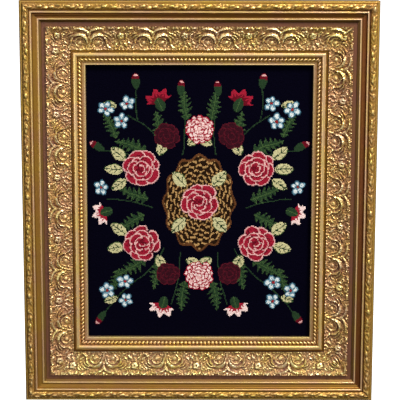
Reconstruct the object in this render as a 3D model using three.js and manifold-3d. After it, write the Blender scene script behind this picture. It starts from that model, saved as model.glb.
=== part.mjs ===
// A small hand-knotted floral rug, held flat in the rebate of a wide gilt picture frame.
// Units are millimetres, +Z is up, and the front of the frame faces -Y.
// The origin is on the back face of the top rail, halfway along it, where the frame meets the wall.
//
// A rail is drawn in its own moulding frame: X runs from the rail's outer edge inwards,
// Y runs from the wall to the front, and Z runs along the rail, with 0 at its middle.

import * as THREE from "three";
import { mergeVertices } from "three/addons/utils/BufferGeometryUtils.js";
import Module from "manifold-3d";

const wasm = await Module();
wasm.setup();

// Driving sizes of the frame and the rug.
const SIGHT_WIDTH = 406;
const SIGHT_HEIGHT = 499;
const RAIL_WIDTH = 115;
const REBATE_WIDTH = 10.5;
const REBATE_DEPTH = 18.3;
const RUG_LAP = 9;
const RUG_THICKNESS = 6;
const CLEARANCE = 0.3;
const MOUNT_FROM_OUTER_EDGE = 40;

// Worked out from the driving sizes.
const OUTER_WIDTH = SIGHT_WIDTH + 2 * RAIL_WIDTH;
const OUTER_HEIGHT = SIGHT_HEIGHT + 2 * RAIL_WIDTH;
const CENTRE_Z = MOUNT_FROM_OUTER_EDGE - OUTER_HEIGHT / 2;

// The four sides. The ornament was cut from long lengths, so its pairs of scrolls start at a different
// place on each side: scrollsAt is along the rail, from its middle.
const SIDES = [
  { name: "top", outerLength: OUTER_WIDTH, fromCentre: OUTER_HEIGHT / 2, turn: 0, scrollsAt: -31 },
  { name: "right", outerLength: OUTER_HEIGHT, fromCentre: OUTER_WIDTH / 2, turn: Math.PI / 2, scrollsAt: 16 },
  { name: "bottom", outerLength: OUTER_WIDTH, fromCentre: OUTER_HEIGHT / 2, turn: Math.PI, scrollsAt: 52 },
  { name: "left", outerLength: OUTER_HEIGHT, fromCentre: OUTER_WIDTH / 2, turn: -Math.PI / 2, scrollsAt: 9 },
];

// The rail's section, from the sight edge out to the rim. Each x is a distance from the outer edge,
// and each y a height above the wall.
const RIM_EDGE = { x: 2, y: 42, halfWidth: 2, rise: 2.6 };
const RIM = { x: 10.4, halfWidth: 5.8, seat: 41 };
const RIM_GROOVE = { x: 17.4, y: 41 };
const OUTER_FILLET = { x: 20, y: 43.6, halfWidth: 1.4, rise: 2.2 };
const OUTER_COVE = { control: { x: 24.4, y: 37.4 } };
const MIDDLE_FILLET = { x: 32.8, y: 39, halfWidth: 1.7, rise: 2.4 };
const CHANNEL = { outer: 38.6, floor: 35, lip: { x: 37.8, y: 37 } };
const BAND = { outer: 44.8, inner: 88, highest: 38.5, lowest: 27.5, strip: 2 };
const INNER_GROOVE = { inner: 91.4, floor: 24.6 };
const RIDGE = { x: 96.3, y: 26.6, halfWidth: 4.4, rise: 6.2 };
const BEAD_SEAT = { outer: 101.2, inner: 108.4, floor: 26 };
const SIGHT_SLOPE = { x: 109, y: 27 };
const SIGHT_NOSE = { top: { x: 113.2, y: 24.8 }, side: 22.6 };

// The run of leaves that lies on the rim, each overlapping the foot of the next.
const RIM_LEAF = { pitch: 26, low: 5.8, high: 8, shoulder: 0.62, drop: 0.28, gap: 1.2 };

// The bead run that lies on its seat: half beads on a thin strip.
const BEAD = { pitch: 7.1, halfWidth: 2.9, shoulder: 1.1, low: 1.3, high: 3.6, gap: 0.8 };

// The ornament that repeats along the band. Its z is along the rail from the middle of a pair of
// scrolls, and its x is from the band's outer edge inwards.
const ORNAMENT_PITCH = 113.5;
const SCROLL = { z: 17, x: 28, radius: 9.4, eye: 3, turns: 1.25, halfWidth: 2.1, rise: 3.8, steps: 8 };
const LEAF_STEPS = 3;
const LEAVES = [
  { name: "centre bud", halfWidth: 4.2, rise: 4, mirrored: false, route: [[0, 41], [0, 24], [0, 3]] },
  { name: "crest leaf", halfWidth: 3, rise: 4, mirrored: true, route: [[5, 13], [17, 8], [30, 21]] },
  { name: "fringe leaf", halfWidth: 2.4, rise: 3, mirrored: true, route: [[26, 4], [35, 6], [44, 14]] },
  { name: "side leaf", halfWidth: 2.8, rise: 3.6, mirrored: true, route: [[30, 38], [43, 37], [50, 27]] },
];
const ROSETTE = { x: 16, radius: 8, rise: 4, sides: 8 };
const SINK = 1;
const RELIEF_ROOM = 12;

// Steps along each curved stretch of the section.
const CURVE_STEPS = 6;
const BAND_STEPS = 2;

const gilt = () => new THREE.MeshStandardMaterial({ color: 0xb58a3c, roughness: 0.38, metalness: 0.85 });
const agedGilt = () => new THREE.MeshStandardMaterial({ color: 0xb0885a, roughness: 0.45, metalness: 0.75 });
const pile = () => new THREE.MeshStandardMaterial({ color: 0x0a0a1c, roughness: 0.95, metalness: 0 });

// The height of the scooped band's face at a distance x from the outer edge.
function bandHeight(x) {
  const share = THREE.MathUtils.clamp((x - BAND.outer) / (BAND.inner - BAND.outer), 0, 1);
  return BAND.lowest + (BAND.highest - BAND.lowest) * (1 - share) ** 2;
}

// A half-round bead of the section, drawn from its inner foot over its crown to its outer foot.
function halfRound(shape, bead) {
  shape.lineTo(bead.x + bead.halfWidth, bead.y);
  shape.absellipse(bead.x, bead.y, bead.halfWidth, bead.rise, 0, Math.PI, false);
}

// The band's stretch of a section, from its inner to its outer edge, at a drop below the band's face.
function followBand(shape, inner, outer, drop) {
  for (let i = 0; i <= BAND_STEPS; i++) {
    const x = THREE.MathUtils.lerp(inner, outer, i / BAND_STEPS);
    shape.lineTo(x, bandHeight(x) - drop);
  }
}

function railSection() {
  const shape = new THREE.Shape();
  const seatDrop = BAND.strip + CLEARANCE;
  shape.moveTo(0, 0);
  shape.lineTo(RAIL_WIDTH - REBATE_WIDTH, 0);
  shape.lineTo(RAIL_WIDTH - REBATE_WIDTH, REBATE_DEPTH);
  shape.lineTo(RAIL_WIDTH, REBATE_DEPTH);
  shape.lineTo(RAIL_WIDTH, SIGHT_NOSE.side);
  shape.quadraticCurveTo(RAIL_WIDTH, SIGHT_NOSE.top.y - 0.3, SIGHT_NOSE.top.x, SIGHT_NOSE.top.y);
  shape.lineTo(SIGHT_SLOPE.x, SIGHT_SLOPE.y);
  shape.lineTo(BEAD_SEAT.inner, BEAD_SEAT.floor);
  shape.lineTo(BEAD_SEAT.outer, BEAD_SEAT.floor);
  halfRound(shape, RIDGE);
  shape.lineTo(INNER_GROOVE.inner, INNER_GROOVE.floor);
  shape.lineTo(BAND.inner + CLEARANCE, INNER_GROOVE.floor);
  followBand(shape, BAND.inner + CLEARANCE, BAND.outer, seatDrop);
  shape.lineTo(BAND.outer - CLEARANCE, CHANNEL.floor);
  shape.lineTo(CHANNEL.outer, CHANNEL.floor);
  shape.lineTo(CHANNEL.lip.x, CHANNEL.lip.y);
  halfRound(shape, MIDDLE_FILLET);
  shape.quadraticCurveTo(
    OUTER_COVE.control.x,
    OUTER_COVE.control.y,
    OUTER_FILLET.x + OUTER_FILLET.halfWidth + CLEARANCE,
    OUTER_FILLET.y,
  );
  halfRound(shape, OUTER_FILLET);
  shape.lineTo(RIM_GROOVE.x, RIM_GROOVE.y);
  shape.lineTo(RIM_EDGE.x + RIM_EDGE.halfWidth + CLEARANCE, RIM.seat);
  halfRound(shape, RIM_EDGE);
  return shape;
}

function stripSection() {
  const inner = BAND.inner - CLEARANCE;
  const outer = BAND.outer + CLEARANCE;
  const shape = new THREE.Shape();
  for (let i = 0; i <= BAND_STEPS; i++) {
    const x = THREE.MathUtils.lerp(outer, inner, i / BAND_STEPS);
    const y = bandHeight(x) - BAND.strip;
    if (i === 0) shape.moveTo(x, y);
    else shape.lineTo(x, y);
  }
  followBand(shape, inner, outer, 0);
  return shape;
}

// A box section as wide as the strip and tall enough to hold its relief, which trims the relief.
function reliefRoomSection() {
  const shape = new THREE.Shape();
  shape.moveTo(BAND.outer + CLEARANCE, BAND.lowest - RELIEF_ROOM);
  shape.lineTo(BAND.inner - CLEARANCE, BAND.lowest - RELIEF_ROOM);
  shape.lineTo(BAND.inner - CLEARANCE, BAND.highest + RELIEF_ROOM);
  shape.lineTo(BAND.outer + CLEARANCE, BAND.highest + RELIEF_ROOM);
  return shape;
}

// Half the length of a rail of this outer length at a distance x from its outer edge, up to the mitre.
function halfLength(outerLength, x) {
  return outerLength / 2 - x - CLEARANCE * Math.SQRT1_2;
}

// A section run along the rail and cut at 45 degrees at both ends.
function mitredRun(shape, outerLength) {
  const geometry = new THREE.ExtrudeGeometry(shape, {
    depth: 1,
    bevelEnabled: false,
    curveSegments: CURVE_STEPS,
  });
  const points = geometry.getAttribute("position");
  for (let i = 0; i < points.count; i++) {
    const side = points.getZ(i) > 0.5 ? 1 : -1;
    points.setZ(i, side * halfLength(outerLength, points.getX(i)));
  }
  return geometry;
}

function toSolid(geometry) {
  const bare = geometry.clone();
  bare.deleteAttribute("normal");
  bare.deleteAttribute("uv");
  const merged = mergeVertices(bare, 1e-4);
  return new wasm.Manifold(
    new wasm.Mesh({
      numProp: 3,
      vertProperties: merged.getAttribute("position").array,
      triVerts: new Uint32Array(merged.index.array),
    }),
  );
}

function toGeometry(solid) {
  const mesh = solid.getMesh();
  const geometry = new THREE.BufferGeometry();
  geometry.setAttribute("position", new THREE.BufferAttribute(new Float32Array(mesh.vertProperties), 3));
  geometry.setIndex(new THREE.BufferAttribute(new Uint32Array(mesh.triVerts), 1));
  geometry.computeVertexNormals();
  return geometry;
}

// The closed body of a list of rings, each with the same number of points, capped at both ends.
function loft(rings) {
  const size = rings[0].length;
  const positions = rings.flat(2);
  const index = [];
  for (let i = 0; i + 1 < rings.length; i++) {
    for (let j = 0; j < size; j++) {
      const here = i * size + j;
      const next = i * size + ((j + 1) % size);
      index.push(here, next, here + size, next, next + size, here + size);
    }
  }
  const last = (rings.length - 1) * size;
  for (let j = 1; j + 1 < size; j++) {
    index.push(0, j + 1, j);
    index.push(last, last + j, last + j + 1);
  }
  const geometry = new THREE.BufferGeometry();
  geometry.setAttribute("position", new THREE.Float32BufferAttribute(positions, 3));
  geometry.setIndex(index);
  return geometry;
}

// A carved ridge of triangular section over the band. The route's points are [across, along], and
// width(share) and rise(share) give its size on the way.
function carvedRidge(route, steps, width, rise) {
  const rings = [];
  for (let i = 0; i <= steps; i++) {
    const share = i / steps;
    const point = route.getPoint(share);
    const tangent = route.getTangent(share);
    const half = width(share);
    const foot = (side) => {
      const x = point.x - side * tangent.y * half;
      const z = point.y + side * tangent.x * half;
      return [x, bandHeight(x) - SINK, z];
    };
    rings.push([foot(1), foot(-1), [point.x, bandHeight(point.x) + rise(share), point.y]]);
  }
  return toSolid(loft(rings));
}

// One scroll: a spiral that winds in to its eye. side is 1 or -1 along the rail.
function scroll(z, side) {
  const points = [];
  for (let i = 0; i <= SCROLL.steps; i++) {
    const share = i / SCROLL.steps;
    const radius = THREE.MathUtils.lerp(SCROLL.radius, SCROLL.eye, share);
    const angle = Math.PI / 2 - share * SCROLL.turns * 2 * Math.PI;
    const across = BAND.outer + SCROLL.x + radius * Math.sin(angle);
    points.push(new THREE.Vector2(across, z + side * (SCROLL.z + radius * Math.cos(angle))));
  }
  return carvedRidge(
    new THREE.SplineCurve(points),
    SCROLL.steps,
    (share) => SCROLL.halfWidth * (1 - 0.35 * share),
    () => SCROLL.rise,
  );
}

// One leaf: a ridge that swells in its middle and ends in points.
function leaf(kind, z, side) {
  const points = kind.route.map(
    ([along, across]) => new THREE.Vector2(BAND.outer + across, z + side * along),
  );
  const swell = (share) => 0.22 + 0.78 * Math.sin(Math.PI * share) ** 0.8;
  return carvedRidge(
    new THREE.SplineCurve(points),
    LEAF_STEPS,
    (share) => kind.halfWidth * swell(share),
    (share) => kind.rise * (0.3 + 0.7 * swell(share)),
  );
}

// The rosette between two pairs of scrolls: a low dome on the band.
function rosette(z) {
  const profile = [
    new THREE.Vector2(0, -SINK),
    new THREE.Vector2(ROSETTE.radius, -SINK),
    new THREE.Vector2(ROSETTE.radius * 0.7, ROSETTE.rise * 0.8),
    new THREE.Vector2(0, ROSETTE.rise),
  ];
  const geometry = new THREE.LatheGeometry(profile, ROSETTE.sides);
  const points = geometry.getAttribute("position");
  for (let i = 0; i < points.count; i++) {
    const x = BAND.outer + ROSETTE.x + points.getX(i);
    points.setXYZ(i, x, bandHeight(x) + points.getY(i), z + points.getZ(i));
  }
  return toSolid(geometry);
}

// Everything that repeats once in each pitch of the ornament, about z.
function ornamentUnit(z) {
  const pieces = [scroll(z, 1), scroll(z, -1)];
  for (const kind of LEAVES) {
    pieces.push(leaf(kind, z, 1));
    if (kind.mirrored) pieces.push(leaf(kind, z, -1));
  }
  pieces.push(rosette(z + ORNAMENT_PITCH / 2));
  return pieces;
}

// The moulded ornament of one rail: a thin strip on the band with its relief, cut at the mitres. One
// pair of scrolls lies at scrollsAt along the rail, and the others follow from it.
function ornament(outerLength, scrollsAt) {
  const units = Math.ceil(outerLength / ORNAMENT_PITCH / 2);
  let relief = toSolid(mitredRun(stripSection(), outerLength));
  for (let i = -units; i <= units; i++) {
    for (const piece of ornamentUnit(scrollsAt + i * ORNAMENT_PITCH)) relief = relief.add(piece);
  }
  const room = toSolid(mitredRun(reliefRoomSection(), outerLength));
  return toGeometry(relief.intersect(room));
}

// A run of raised pieces along one rail, from mitre to mitre. section(share) is its section, as
// [across, height] points about the run's middle line, with share 0 between two pieces and 1 at the
// top of one. places lists [along, share] for the rings in between.
function raisedRun(outerLength, middle, section, places) {
  const mitre = (side) =>
    section(0).map(([x, y]) => [middle + x, y, side * halfLength(outerLength, middle + x)]);
  const rings = places.map(([z, share]) => section(share).map(([x, y]) => [middle + x, y, z]));
  return loft([mitre(-1), ...rings, mitre(1)]);
}

// The bead run of one rail, high at a bead and low between two.
function beadRun(outerLength) {
  const middle = (BEAD_SEAT.outer + BEAD_SEAT.inner) / 2;
  const foot = BEAD_SEAT.floor + CLEARANCE;
  const section = (share) => {
    const top = foot + THREE.MathUtils.lerp(BEAD.low, BEAD.high, share);
    return [
      [-BEAD.halfWidth, foot],
      [BEAD.halfWidth, foot],
      [BEAD.shoulder, top],
      [-BEAD.shoulder, top],
    ];
  };
  const count = Math.floor((2 * halfLength(outerLength, BEAD_SEAT.inner)) / BEAD.pitch);
  const places = [];
  for (let i = 0; i < count; i++) {
    const z = (i - (count - 1) / 2) * BEAD.pitch;
    places.push([z - BEAD.pitch / 2 + BEAD.gap / 2, 0], [z, 1]);
  }
  places.push([(count / 2) * BEAD.pitch - BEAD.gap / 2, 0]);
  return raisedRun(outerLength, middle, section, places);
}

// The run of leaves on one rail's rim. Each leaf rises towards its tip, and then drops.
function rimLeaves(outerLength) {
  const foot = RIM.seat + CLEARANCE;
  const section = (share) => {
    const rise = THREE.MathUtils.lerp(RIM_LEAF.low, RIM_LEAF.high, share);
    const shoulder = RIM.halfWidth * RIM_LEAF.shoulder;
    return [
      [-RIM.halfWidth, foot],
      [RIM.halfWidth, foot],
      [shoulder, foot + rise * (1 - RIM_LEAF.drop)],
      [0, foot + rise],
      [-shoulder, foot + rise * (1 - RIM_LEAF.drop)],
    ];
  };
  const count = Math.floor((2 * halfLength(outerLength, RIM.x + RIM.halfWidth)) / RIM_LEAF.pitch);
  const places = [];
  for (let i = 0; i < count; i++) {
    const start = (i - count / 2) * RIM_LEAF.pitch;
    places.push([start, 0], [start + RIM_LEAF.pitch - RIM_LEAF.gap, 1]);
  }
  places.push([(count / 2) * RIM_LEAF.pitch, 0]);
  return raisedRun(outerLength, RIM.x, section, places);
}

// The rug: one flat knotted sheet, whose edges lap behind the frame's lip.
function rug() {
  const geometry = new THREE.BoxGeometry(
    SIGHT_WIDTH + 2 * RUG_LAP,
    RUG_THICKNESS,
    SIGHT_HEIGHT + 2 * RUG_LAP,
  );
  const mesh = new THREE.Mesh(geometry, pile());
  mesh.name = "rug";
  mesh.position.set(0, -(REBATE_DEPTH - CLEARANCE - RUG_THICKNESS / 2), CENTRE_Z);
  return mesh;
}

// One side of the frame, with its rail, ornament, leaves and beads, turned about the frame's centre.
function frameSide({ name, outerLength, fromCentre, turn, scrollsAt }) {
  const mouldingToWorld = new THREE.Matrix4().makeBasis(
    new THREE.Vector3(0, 0, -1),
    new THREE.Vector3(0, -1, 0),
    new THREE.Vector3(-1, 0, 0),
  );
  const moulding = new THREE.Group();
  moulding.quaternion.setFromRotationMatrix(mouldingToWorld);
  moulding.position.set(0, 0, fromCentre);
  const pieces = [
    ["rail_", mitredRun(railSection(), outerLength), gilt()],
    ["ornament_", ornament(outerLength, scrollsAt), agedGilt()],
    ["rim_leaves_", rimLeaves(outerLength), agedGilt()],
    ["beads_", beadRun(outerLength), gilt()],
  ];
  for (const [prefix, geometry, material] of pieces) {
    const mesh = new THREE.Mesh(geometry, material);
    mesh.name = prefix + name;
    moulding.add(mesh);
  }
  const side = new THREE.Group();
  side.add(moulding);
  side.rotation.y = turn;
  side.position.set(0, 0, CENTRE_Z);
  return side;
}

const framedRug = new THREE.Group();
for (const side of SIDES) framedRug.add(frameSide(side));
framedRug.add(rug());

export default framedRug;
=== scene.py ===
"""Looks for a knotted floral rug held flat in a wide gilt picture frame.

Lengths in the moulding functions are millimetres. A rail has its own directions: across runs inwards
from its outer edge, height runs from the wall to the front, and along follows the rail from its middle.
"""

import math

import bpy
import numpy as np
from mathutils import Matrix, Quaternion, Vector


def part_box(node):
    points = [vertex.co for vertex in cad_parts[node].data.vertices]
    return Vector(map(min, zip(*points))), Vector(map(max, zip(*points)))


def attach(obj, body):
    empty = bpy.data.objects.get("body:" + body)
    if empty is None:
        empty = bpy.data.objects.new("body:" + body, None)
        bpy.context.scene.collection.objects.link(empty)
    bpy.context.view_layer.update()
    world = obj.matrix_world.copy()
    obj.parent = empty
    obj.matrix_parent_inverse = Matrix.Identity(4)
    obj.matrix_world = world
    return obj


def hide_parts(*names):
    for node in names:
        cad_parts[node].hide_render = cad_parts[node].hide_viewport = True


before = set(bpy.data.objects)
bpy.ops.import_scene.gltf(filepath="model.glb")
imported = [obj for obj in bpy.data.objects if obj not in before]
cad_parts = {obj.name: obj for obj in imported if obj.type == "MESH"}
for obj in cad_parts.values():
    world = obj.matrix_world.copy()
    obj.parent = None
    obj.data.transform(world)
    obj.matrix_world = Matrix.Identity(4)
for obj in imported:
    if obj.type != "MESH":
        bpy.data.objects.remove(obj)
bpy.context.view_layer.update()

bl_info = {
    "name": "Framed Knotted Rug",
    "version": (1, 0, 0),
    "blender": (4, 5, 0),
    "location": "View3D > Sidebar > Framed Rug",
    "description": "Makes the gilt mouldings, the carved ornament and the knotted rug",
    "category": "Object",
}

MM = 0.001
SEED = 20


def paint(code):
    """A scene-linear colour from a six-digit screen colour."""
    channels = [(code >> shift & 255) / 255 for shift in (16, 8, 0)]
    return tuple(c / 12.92 if c <= 0.04045 else ((c + 0.055) / 1.055) ** 2.4 for c in channels)


def between(limits, share):
    """A value from the first limit, at a share of 0, to the last, at a share of 1."""
    return limits[0] + (limits[1] - limits[0]) * share


# The frame's outer size and middle, taken from the construction model.
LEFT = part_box("rail_left")[0].x / MM
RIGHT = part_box("rail_right")[1].x / MM
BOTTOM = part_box("rail_bottom")[0].z / MM
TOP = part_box("rail_top")[1].z / MM
OUTER_WIDTH = RIGHT - LEFT
OUTER_HEIGHT = TOP - BOTTOM
MIDDLE_Z = (TOP + BOTTOM) / 2
RUG_LOW, RUG_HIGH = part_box("rug")

# Pieces that lie on a rail keep this clear of its grooves, and each rail stops this short of a mitre.
CLEARANCE = 0.3
MITRE_SEAM = 0.03

# The rail's section: distances across from the outer edge, and heights above the wall. The shoulder is
# the power that fills a half-round out, and the seat under the band has this many steps.
RAIL_WIDTH = 115
SHOULDER = 0.75
SEAT_STEPS = 8
REBATE = {"width": 10.5, "depth": 18.3}
RIM_EDGE = {"across": 3, "height": 42, "half": 2, "rise": 2.4}
RIM = {"across": 10.4, "half": 5.8, "seat": 41.3, "rise": 8.4}
RIM_GROOVE = (17.4, 43)
OUTER_FILLET = {"across": 20.4, "height": 43.4, "half": 1.6, "rise": 2.4}
OUTER_COVE = (23, 39.4)
COVE_RIB = (25.8, 39.9)
INNER_COVE = (28.6, 38.2)
COVE_END = (31, 39)
MIDDLE_FILLET = {"across": 32.8, "height": 39, "half": 1.6, "rise": 2.4}
CHANNEL = {"lip": (37.8, 37), "outer": 38.6, "floor": 35}
BAND = {"outer": 45.5, "inner": 88, "highest": 38.5, "lowest": 27.5, "strip": 2}
INNER_GROOVE = (91.4, 24.6)
RIDGE = {"across": 96.3, "height": 26.6, "half": 4.4, "rise": 6.2}
BEAD_SEAT = {"outer": 101.2, "inner": 108.4, "floor": 26}
SIGHT_SLOPE = (109, 26.1)
SIGHT_NOSE = {"side": 22.6, "crown": (113.7, 26), "foot": (112.3, 25.4)}

# The finish of each stretch of the section: its screen colour and how burnished it is, from 0 to 1.
FINISHES = {
    "wood": (0x8A6540, 0.0),
    "flank": (0x745A22, 0.35),
    "edge": (0xB4924A, 0.7),
    "seat": (0x5A3A20, 0.2),
    "groove": (0xA07A3C, 0.45),
    "fillet": (0xF0D09C, 0.95),
    "cove": (0x96702E, 0.75),
    "olive": (0x76582A, 0.55),
    "channel": (0x724A32, 0.15),
    "ochre": (0x8A6414, 0.65),
    "ridge": (0xEACA90, 0.95),
    "sand": (0xA88458, 0.3),
    "lip": (0xE6CC96, 0.8),
    "bead": (0xF6D696, 0.9),
}
# How much dark red-brown is mixed into each finish, rail by rail: painted shade on the rails and stretches
# that the light reaches least, and partly the red ground showing through.
RED_SHADE_AND_GROUND = paint(0x5C1E08)
SHADE_AND_GROUND_SHARES = {
    "top": {"cove": 0.5, "groove": 0.5},
    "right": {"cove": 0.72, "groove": 0.72, "ochre": 0.1, "sand": 0.15, "lip": 0.35},
    "bottom": {"cove": 0.12, "ochre": 0.5, "sand": 0.15},
    "left": {"fillet": 0.15, "ochre": 0.35, "lip": 0.2},
}
# Painted shade: how far each rail's ornament is darkened from the brightest, as the light falls on its
# side.
BAND_PAINTED_SHADES = {
    "top": (1.0, 1.0, 1.0),
    "right": (0.89, 0.83, 0.86),
    "bottom": (0.92, 0.93, 0.97),
    "left": (0.88, 0.82, 0.86),
}
# The tones of carved gilding, from its hollows to what stands up, and how a place's tone is worked out.
HOLLOW = paint(0x6A3E34)
BAND_TONES = (HOLLOW, paint(0xCAA468), paint(0xFFF6C0))
RIM_TONES = (paint(0x5A300E), paint(0xAE863C), paint(0xF4DA92))
LEAFING = {"level": 0.44, "by_cavity": 0.25, "by_height": 0.03}
CAVITY_RADIUS = {"band": 2.4, "rim": 2.0}
RIM_CONTRAST = 1.5
# The clouds in the gilding, as the shares of red, green and blue that they let through.
MAUVE_CLOUD = (0.96, 0.86, 0.93)
YELLOW_CLOUD = (1.0, 0.98, 0.67)
# The bare wood's two colours, and how finely its grain is drawn along and across a rail.
BARE_WOOD = (paint(0xA98457), paint(0x7A5734))
WOOD_GRAIN = {"along": 14.0, "across": 60.0}
# How strong the surface's fine relief is, in the gilding and in the rug.
GILT_GRAIN = {"rail": 0.2, "ornament": 0.35, "bead": 0.1}
TUFT_RELIEF = {"face": 0.5, "back": 0.25}

# The ornament's repeat along the rail, and its strokes for one half, mirrored about the pair's middle.
# Columns: kind, half width, rise, mirrored, route of (along, across) points.
ORNAMENT_PITCH = 113.5
STROKES = [
    ("round", 2.6, 1.6, False, [(0, 42), (0, 32), (0, 23)]),
    ("leaf", 2.6, 3.6, False, [(0, 24), (0, 17), (0, 11)]),
    ("leaf", 2.3, 4.2, False, [(0, 5), (0, 3), (0, 0.5)]),
    ("fold", 1.7, 3.2, True, [(2, 14), (4.5, 8), (10, 4)]),
    ("blade", 2.7, 6.2, True, [(27.5, 19.5), (31, 24), (31.5, 31)]),
    ("blade", 1.8, 5.0, True, [(26.5, 15.5), (32, 17.5), (37.5, 23)]),
    ("blade", 1.6, 4.4, True, [(28.5, 11.5), (35, 13.5), (41, 18.5)]),
    ("leaf", 1.7, 3.4, True, [(32.5, 32.5), (36, 37), (41, 39.5)]),
    ("leaf", 1.6, 3.0, True, [(12, 41.6), (18, 42), (24, 41)]),
    ("leaf", 2.2, 4.2, True, [(46, 36), (48, 32), (51.5, 29.5)]),
    ("leaf", 1.5, 3.2, True, [(38.5, 31.5), (42, 29), (44, 25)]),
    ("leaf", 1.5, 3.0, True, [(48, 21), (46.5, 16.5), (48.5, 12)]),
    ("leaf", 2.2, 4.0, True, [(36, 4), (41, 2.8), (45.5, 4.5)]),
    ("leaf", 1.6, 3.4, True, [(49, 6), (52.5, 3), (56, 3.5)]),
    ("leaf", 1.5, 3.0, False, [(53, 39), (56.75, 35.5), (60.5, 39)]),
    ("leaf", 1.5, 3.2, False, [(56.75, 31), (56.75, 28), (56.75, 25.5)]),
]
# The crest leaves that lie round each volute: their distance from its middle at both ends, the first
# and last angle in degrees from the pair's middle line, half width and rise.
CREST = [
    (14.4, 15.6, 4, 130, 3.7, 6.6),
    (24.6, 26.4, 40, 112, 2.4, 4.8),
]
# The smooth hollow round each volute that sets its crest leaf off: how far it reaches, and its angles.
CREST_HOLLOW = {"inner": 9, "outer": 22.5, "first": -12, "last": 142, "floor": -0.9}
# The two scrolls of a half: where each lies, how its ridge winds in from radius to eye, and the ridge.
VOLUTE = {
    "along": 16.6,
    "across": 29.6,
    "radius": 9.6,
    "eye": 6.4,
    "turns": 0.68,
    "half": 1.3,
    "rise": 2.1,
}
CURL = {
    "along": 43.6,
    "across": 12.4,
    "radius": 3.2,
    "eye": 1.8,
    "turns": 0.9,
    "half": 0.9,
    "rise": 2.8,
}
# The dish under a scroll, the dome a little off its middle, and the steps that draw a scroll's turn and
# a crest leaf.
SCROLL_DISH = {"floor": -2.6, "climb": 2.4}
SCROLL_EYE = {"shift": 0.5, "radius_share": 0.55}
SCROLL_STEPS = 40
CREST_STEPS = 8
ROSETTE = {"across": 17.5, "radius": 6.8, "petals": 5, "rise": 5.4, "hole": 1.5}
# The rows of small dots. Columns: their place across, radius, rise and count in a repeat.
EDGE_DOTS = [(41.4, 1.5, 2.2, 18), (1.6, 1.4, 2.4, 11)]
# The small lumps and leaf scraps that fill the ground, each between two sizes.
PEBBLES = {"count": 420, "radius": (0.6, 1.3), "rise": (0.575, 1.15)}
FLECKS = {"count": 34, "length": (2.0, 4.4), "half": (0.7, 1.2), "rise": (1.6, 3.2)}
# The unevenness of the ground and of the whole surface, with radii in cells of the tile, and how much
# the ornament's rise drifts along a rail, with its radius in cells of the mesh.
GROUND_GRAIN = {"radius": 1.6, "rise": 1.05}
SURFACE_GRAIN = {"radius": 1.9, "rise": 0.42}
PRESSING = {"radius": 14, "share": 0.12}
TILE_CELL = 0.35
UNDERSIDE_COLUMNS = 7

# The leaves on the rim, and their folds by where they start along the leaf and how far they reach.
RIM_LEAF_PITCH = 26
RIM_LEAVES = 7
RIM_FOLDS = ((0, 10), (5, 9), (10, 8.5), (15, 7.5), (20, 6.5))
# A fold's and a blade's size, and how far round the rim from its crest they lie, as shares of its girth.
RIM_FOLD = {"half": (0.8, 1.7), "rise": (0.7, 2.0), "foot": 0.03, "bend": (0.13, 0.23), "tip": (0.28, 0.42)}
RIM_BLADE = {"starts": (3, 15), "length": 8, "half": (1.7, 2.6), "rise": (2.0, 3.2), "middle": (-0.1, 0.1)}
RIM_DOT = {"count": 9, "radius": (0.6, 1.5), "rise": (0.7, 1.9)}
RIM_GRAIN = {"radius": 1.2, "rise": 2.6}
# How far along the rim a leaf, a fold and a blade may shift, the leaf by a share of the pitch.
RIM_SHIFT = {"leaf": 0.3, "fold": 3, "blade": 6}
RIM_MESH = {"columns": 22, "cell": 1.25, "foot": 0.5, "leaf_rise": 2.4}

# The beads, with the girth of the cord between them as a share of theirs, and their painted light: a
# painted highlight on each crest, painted shade down the sides, and the wear that follows it.
BEAD = {"pitch": 7.1, "half": 3.0, "rise": 3.6, "cord": 0.32, "foot": 0.3, "length_share": 0.94}
BEAD_PAINTED_LIGHT_AND_WEAR = {"side": (0.35, 1.0), "power": 0.7, "wear": (0.15, 0.95)}
BEAD_MESH = {"columns": 10, "rows": 8}

# The rails' lengthwise steps, and the angles in degrees past which an edge is sharp.
RAIL_STEPS = 36
SHARP = {"rail": 35, "carving": 60}

# The camera, worked out from the corners of the frame in the photograph.
CAMERA = {"elevation": 9.75, "azimuth": 0.0, "distance": 2.65, "field": 15.55, "roll": 0.11}
CAMERA_AIM = (0.0015, -0.025, 0.0061)
SENSOR_WIDTH = 36

# The studio, in metres. Its room grows lighter from its dark side to the side of its window.
FLOOR = {"below": 0.25, "half": 30.0, "shade": 0.9, "glow": 0.9}
ROOM = {"window": (0.38, -0.45, 0.72), "turn": (-0.2, 1.0), "light": (0.03, 0.95)}
# Columns: name, place, size, share of the key light's power, colour.
LAMPS = [
    ("key_light", (1.35, -1.65, 2.0), 0.8, 1.0, (1.0, 0.96, 0.9)),
    ("fill_light", (-1.4, -2.6, -0.2), 1.4, 0.12, (0.95, 0.96, 1.0)),
]


class FramedRugSettings(bpy.types.PropertyGroup):
    """The sizes and colours that a user would change."""

    knot_size: bpy.props.FloatProperty(
        name="Knot size",
        description="Distance between two knots of the rug",
        default=1.7 * MM,
        min=1.5 * MM,
        unit="LENGTH",
    )
    relief_cell: bpy.props.FloatProperty(
        name="Relief cell",
        description="Distance between two points of the carved ornament's mesh",
        default=0.86 * MM,
        min=0.8 * MM,
        unit="LENGTH",
    )
    ground: bpy.props.FloatVectorProperty(
        name="Rug ground",
        description="Colour of the rug's ground between its flowers",
        subtype="COLOR",
        default=paint(0x040310),
    )
    patina: bpy.props.FloatVectorProperty(
        name="Patina",
        description="Colour of the toning that lies in the gilding's hollows",
        subtype="COLOR",
        default=paint(0x5C3A2E),
    )
    key_power: bpy.props.FloatProperty(
        name="Key light",
        description="Power of the large soft light at the upper right",
        default=118.0,
        unit="POWER",
    )


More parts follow.
